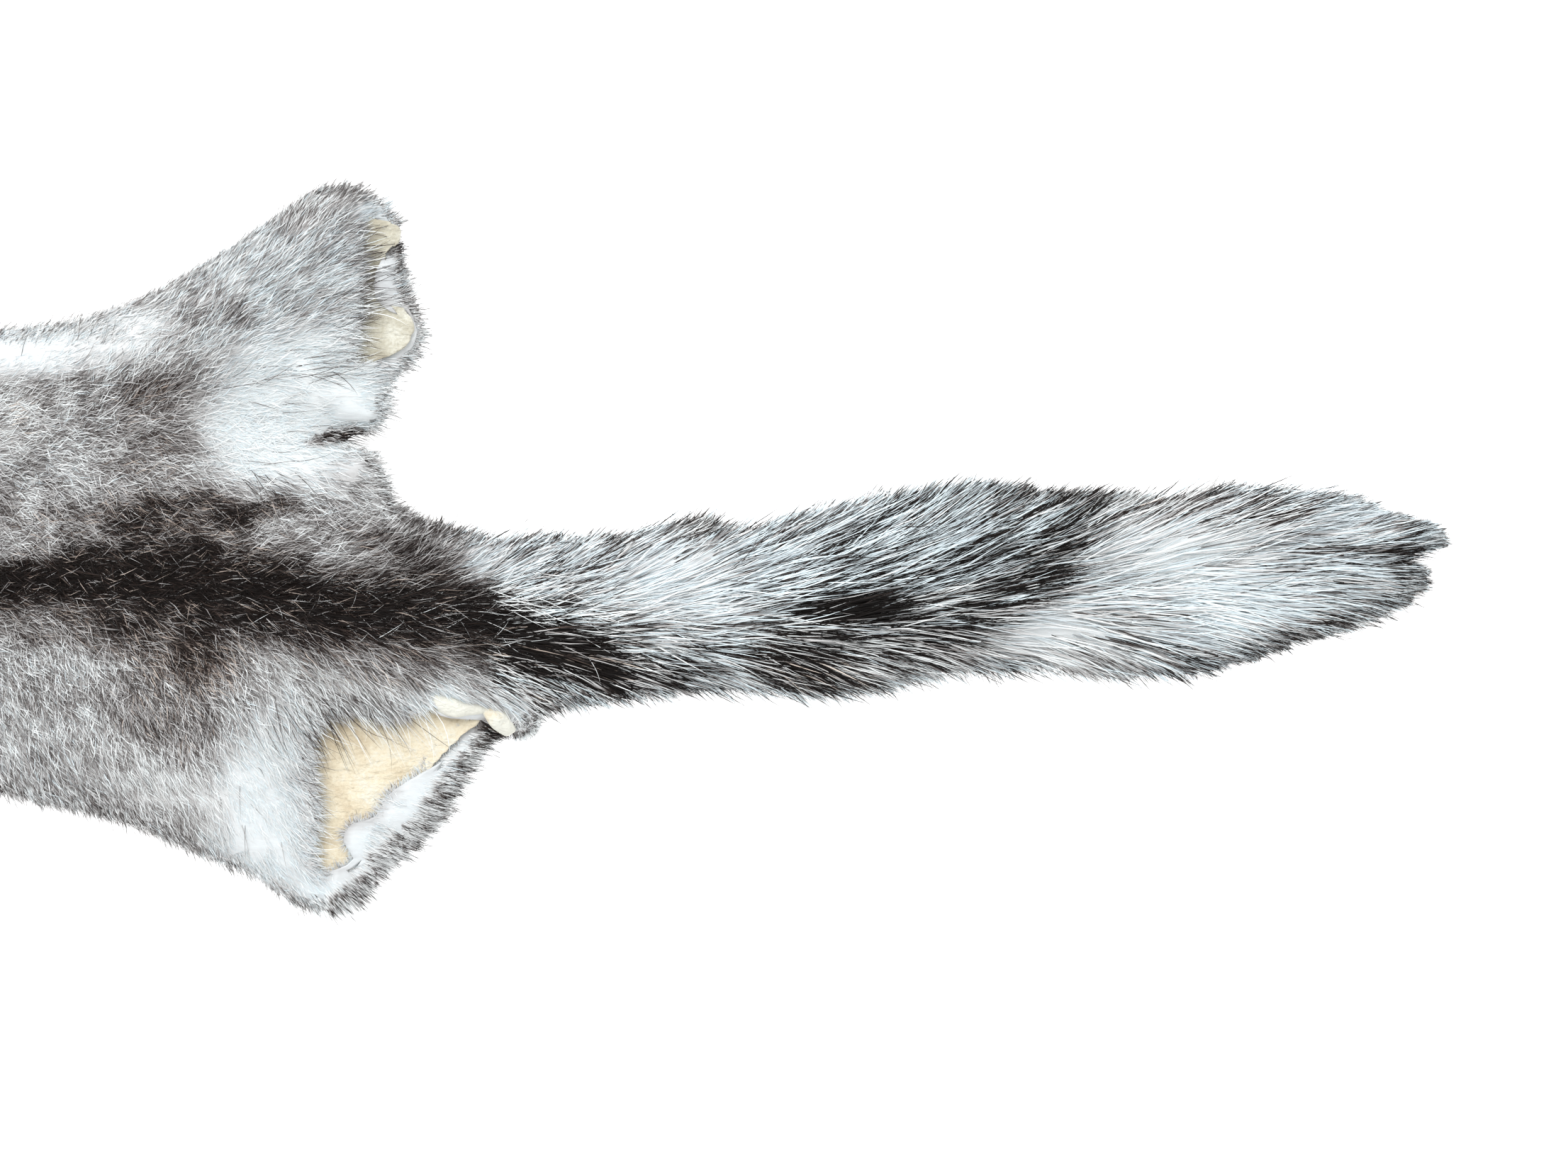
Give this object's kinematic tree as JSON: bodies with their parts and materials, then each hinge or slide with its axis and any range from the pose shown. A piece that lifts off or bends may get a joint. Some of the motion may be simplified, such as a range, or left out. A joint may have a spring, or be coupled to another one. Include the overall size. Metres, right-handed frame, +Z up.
{
  "type": "mink pelt",
  "caption": "Whole mink pelt lying flat on its belly, with silver fur, a dark stripe down the back, spread hind feet that show bare leather, and a long bushy tail laid out straight.",
  "frame": {"origin": "on the floor under the middle of the whole pelt", "axes": "+X runs along the back from the nose to the tip of the tail, +Y to the animal's right side, +Z up out of the back"},
  "size_m": [0.7803, 0.1513, 0.0185],
  "materials": {
    "fur": "long soft fur, silver grey and white with a dark brown stripe",
    "leather": "dry cream suede with fine creases"
  },
  "bodies": {
    "root": {"pelt": "fur"}
  },
  "joints": []
}
